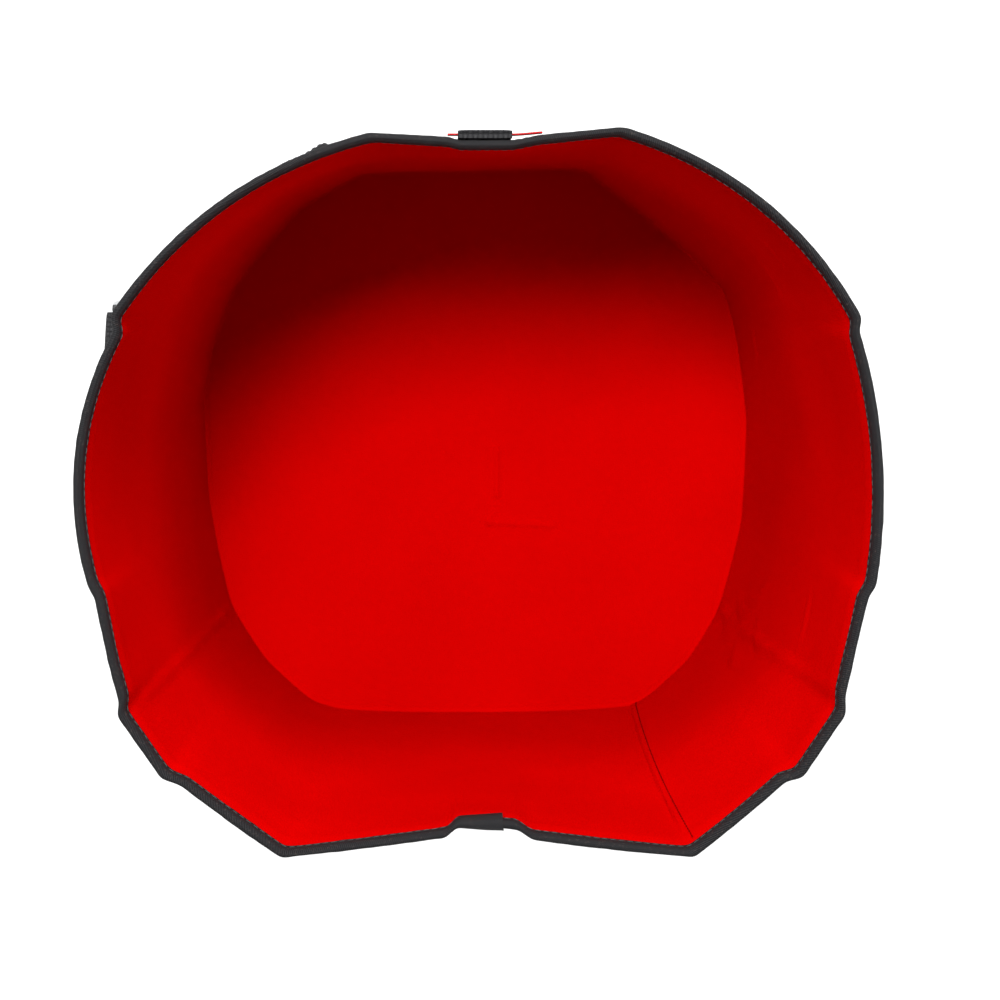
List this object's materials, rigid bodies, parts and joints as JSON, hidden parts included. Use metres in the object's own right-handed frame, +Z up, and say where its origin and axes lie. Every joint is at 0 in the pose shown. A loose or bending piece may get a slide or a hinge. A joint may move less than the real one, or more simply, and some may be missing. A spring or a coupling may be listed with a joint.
{
  "type": "tool bucket organizer",
  "caption": "Soft-walled tool bucket on a moulded base, with a lined open inside, outside pockets and two swinging side handles.",
  "frame": {"origin": "centre of the moulded base's flat underside", "axes": "+Z up to the rim, -Y towards the front, where the rim tape's ends lap, +X across"},
  "size_m": [0.3646, 0.3214, 0.3],
  "materials": {
    "lining": "smooth coated lining, bright red",
    "cloth": "heavy black woven cloth",
    "tape": "ribbed dark grey binding tape",
    "web": "black woven web",
    "red_web": "red woven web",
    "board": "plain sheet",
    "rubber": "moulded, satin",
    "grip": "soft, matt",
    "steel": "plated wire"
  },
  "bodies": {
    "bucket": {"base_tub": "rubber", "floor_board": "board", "lining_floor": "lining", "lining_wall": "lining", "wall_board": "board", "outer_wall": "cloth", "rim_binding": "tape", "front_web": "web", "back_strap": "red_web", "back_loop": "web", "front_pocket_left": "cloth", "front_pocket_left_binding": "tape", "front_pocket_right": "cloth", "front_pocket_right_binding": "tape", "corner_pocket_left": "cloth", "corner_pocket_left_binding": "tape", "corner_pocket_right": "cloth", "corner_pocket_right_binding": "tape", "driver_sleeve_left": "cloth", "driver_sleeve_left_binding": "tape", "driver_sleeve_right": "cloth", "driver_sleeve_right_binding": "tape", "plier_pocket_left": "cloth", "plier_pocket_left_binding": "tape", "plier_pocket_right": "cloth", "plier_pocket_right_binding": "tape", "side_pocket_left": "cloth", "side_pocket_left_binding": "tape", "side_pocket_right": "cloth", "side_pocket_right_binding": "tape", "rear_pocket_left": "cloth", "rear_pocket_left_binding": "tape", "rear_pocket_right": "cloth", "rear_pocket_right_binding": "tape", "back_pocket_left": "cloth", "back_pocket_left_binding": "tape", "back_pocket_right": "cloth", "back_pocket_right_binding": "tape", "handle_tab_left_front": "web", "handle_tab_left_back": "web", "handle_tab_right_front": "web", "handle_tab_right_back": "web"},
    "handle_left": {"handle_strap_left": "web", "handle_grip_left": "grip", "handle_ring_left_front": "steel", "handle_ring_left_back": "steel"},
    "handle_right": {"handle_strap_right": "web", "handle_grip_right": "grip", "handle_ring_right_front": "steel", "handle_ring_right_back": "steel"}
  },
  "joints": [
    {"name": "handle_left_swing", "type": "hinge", "parent": "bucket", "child": "handle_left", "pos_m": [-0.16424, 0.01211, 0.218], "axis": [0.0643, 0.9979, 0], "range_deg": [0, 160]},
    {"name": "handle_right_swing", "type": "hinge", "parent": "bucket", "child": "handle_right", "pos_m": [0.16554, 0.01758, 0.218], "axis": [0.0778, -0.997, 0], "range_deg": [0, 160]}
  ]
}
